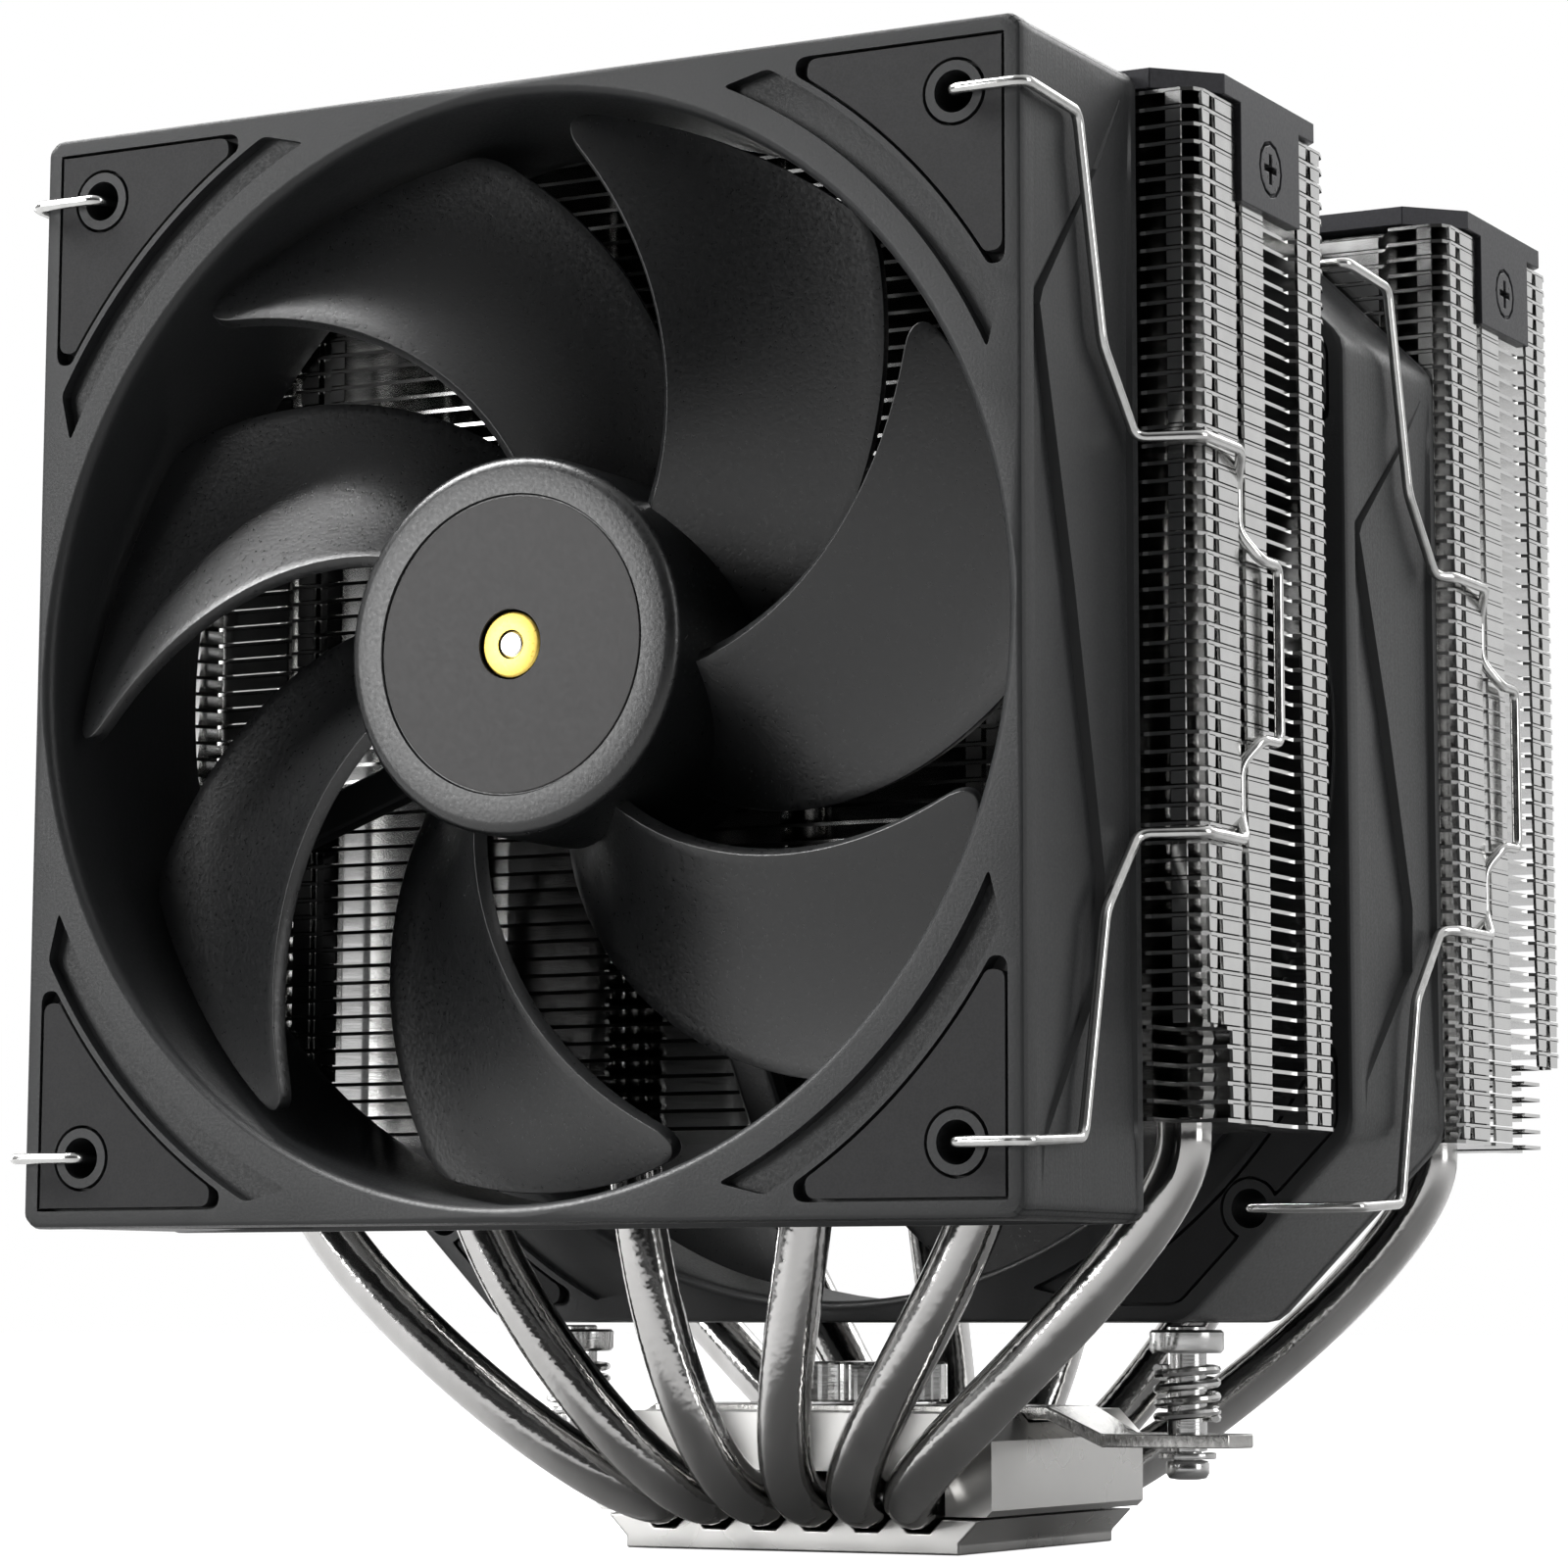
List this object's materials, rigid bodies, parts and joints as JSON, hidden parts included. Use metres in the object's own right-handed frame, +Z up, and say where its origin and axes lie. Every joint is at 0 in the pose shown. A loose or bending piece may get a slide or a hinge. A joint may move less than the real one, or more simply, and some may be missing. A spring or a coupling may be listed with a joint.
{
  "type": "cpu tower cooler",
  "caption": "Twin tower processor cooler: stacked fins on U-shaped heat pipes over a cold plate, with wire-clipped axial fans and a spring screw mounting bar.",
  "frame": {"origin": "middle of the cold plate's flat underside, where it rests on the processor", "axes": "+Z up along the towers, -Y towards the intake of the front fan, +X to the right seen from the front fan"},
  "size_m": [0.1368, 0.1393, 0.1561],
  "materials": {
    "fin_aluminium": "bright stamped fins with folded side tabs",
    "black_coating": "satin black coating",
    "pipe_nickel": "polished nickel plating, a little wrinkled at the bends",
    "base_nickel": "satin nickel plating over milled copper",
    "bar_nickel": "bright nickel plated steel with sheared edges",
    "pad_rubber": "matte dark rubber",
    "frame_plastic": "satin black moulded plastic",
    "rotor_plastic": "fine grained black moulded plastic",
    "bush_brass": "polished brass",
    "bearing_bronze": "sintered bronze",
    "magnet_ferrite": "dark bonded ferrite",
    "stator_copper": "enamelled copper windings on a steel core",
    "board_laminate": "green glass laminate",
    "spring_wire": "bright drawn spring steel",
    "screw_steel": "bright turned steel"
  },
  "bodies": {
    "cooler": {"base_block": "base_nickel", "cold_plate": "base_nickel", "front_cover_screw_left": "screw_steel", "front_cover_screw_right": "screw_steel", "front_fan_bearing": "bearing_bronze", "front_fan_circuit_board": "board_laminate", "front_fan_frame": "frame_plastic", "front_fan_front_pad_1": "pad_rubber", "front_fan_front_pad_2": "pad_rubber", "front_fan_front_pad_3": "pad_rubber", "front_fan_front_pad_4": "pad_rubber", "front_fan_rear_pad_1": "pad_rubber", "front_fan_rear_pad_2": "pad_rubber", "front_fan_rear_pad_3": "pad_rubber", "front_fan_rear_pad_4": "pad_rubber", "front_fan_stator": "stator_copper", "front_fin_stack": "fin_aluminium", "front_top_cover": "black_coating", "heat_pipe_1": "pipe_nickel", "heat_pipe_2": "pipe_nickel", "heat_pipe_3": "pipe_nickel", "heat_pipe_4": "pipe_nickel", "heat_pipe_5": "pipe_nickel", "heat_pipe_6": "pipe_nickel", "middle_fan_bearing": "bearing_bronze", "middle_fan_circuit_board": "board_laminate", "middle_fan_frame": "frame_plastic", "middle_fan_front_pad_1": "pad_rubber", "middle_fan_front_pad_2": "pad_rubber", "middle_fan_front_pad_3": "pad_rubber", "middle_fan_front_pad_4": "pad_rubber", "middle_fan_rear_pad_1": "pad_rubber", "middle_fan_rear_pad_2": "pad_rubber", "middle_fan_rear_pad_3": "pad_rubber", "middle_fan_rear_pad_4": "pad_rubber", "middle_fan_stator": "stator_copper", "mounting_bar": "bar_nickel", "rear_cover_screw_left": "screw_steel", "rear_cover_screw_right": "screw_steel", "rear_fin_stack": "fin_aluminium", "rear_top_cover": "black_coating", "screw_spring_left": "spring_wire", "screw_spring_right": "spring_wire"},
    "front_rotor": {"front_fan_rotor": "rotor_plastic", "front_fan_magnet_ring": "magnet_ferrite", "front_fan_hub_bush": "bush_brass", "front_fan_shaft": "screw_steel"},
    "front_clip_left": {"front_fan_clip_left": "spring_wire"},
    "front_clip_right": {"front_fan_clip_right": "spring_wire"},
    "middle_rotor": {"middle_fan_rotor": "rotor_plastic", "middle_fan_magnet_ring": "magnet_ferrite", "middle_fan_hub_bush": "bush_brass", "middle_fan_shaft": "screw_steel"},
    "middle_clip_left": {"middle_fan_clip_left": "spring_wire"},
    "middle_clip_right": {"middle_fan_clip_right": "spring_wire"},
    "left_screw_carrier": {"retaining_ring_left": "screw_steel"},
    "left_spring_screw": {"spring_screw_left": "screw_steel"},
    "right_screw_carrier": {"retaining_ring_right": "screw_steel"},
    "right_spring_screw": {"spring_screw_right": "screw_steel"},
    "pressure_screw": {"pressure_screw": "screw_steel"}
  },
  "joints": [
    {"name": "front_fan_spin", "type": "hinge", "parent": "cooler", "child": "front_rotor", "pos_m": [0, -0.0832, 0.0955], "axis": [0, -1, 0], "continuous": true},
    {"name": "front_clip_left_release", "type": "hinge", "parent": "cooler", "child": "front_clip_left", "pos_m": [-0.0525, -0.0832, 0.0955], "axis": [0, 0, 1], "range_deg": [0, 20], "stiffness_Nm_per_rad": 0.1},
    {"name": "front_clip_right_release", "type": "hinge", "parent": "cooler", "child": "front_clip_right", "pos_m": [0.0525, -0.0832, 0.0955], "axis": [0, 0, -1], "range_deg": [0, 20], "stiffness_Nm_per_rad": 0.1},
    {"name": "middle_fan_spin", "type": "hinge", "parent": "cooler", "child": "middle_rotor", "pos_m": [0, -0.0108, 0.0905], "axis": [0, -1, 0], "continuous": true},
    {"name": "middle_clip_left_release", "type": "hinge", "parent": "cooler", "child": "middle_clip_left", "pos_m": [-0.0525, -0.0108, 0.0905], "axis": [0, 0, 1], "range_deg": [0, 20], "stiffness_Nm_per_rad": 0.1},
    {"name": "middle_clip_right_release", "type": "hinge", "parent": "cooler", "child": "middle_clip_right", "pos_m": [0.0525, -0.0108, 0.0905], "axis": [0, 0, -1], "range_deg": [0, 20], "stiffness_Nm_per_rad": 0.1},
    {"name": "left_screw_press", "type": "slide", "parent": "cooler", "child": "left_screw_carrier", "axis": [0, 0, -1], "range_m": [0, 0.003], "stiffness_N_per_m": 1500, "deforming": ["screw_spring_left"]},
    {"name": "left_screw_turn", "type": "hinge", "parent": "left_screw_carrier", "child": "left_spring_screw", "pos_m": [-0.04, 0, 0.0134], "axis": [0, 0, 1], "continuous": true},
    {"name": "right_screw_press", "type": "slide", "parent": "cooler", "child": "right_screw_carrier", "axis": [0, 0, -1], "range_m": [0, 0.003], "stiffness_N_per_m": 1500, "deforming": ["screw_spring_right"]},
    {"name": "right_screw_turn", "type": "hinge", "parent": "right_screw_carrier", "child": "right_spring_screw", "pos_m": [0.04, 0, 0.0134], "axis": [0, 0, 1], "continuous": true},
    {"name": "pressure_screw_turn", "type": "hinge", "parent": "cooler", "child": "pressure_screw", "pos_m": [0, 0, 0.0164], "axis": [0, 0, 1], "continuous": true}
  ]
}
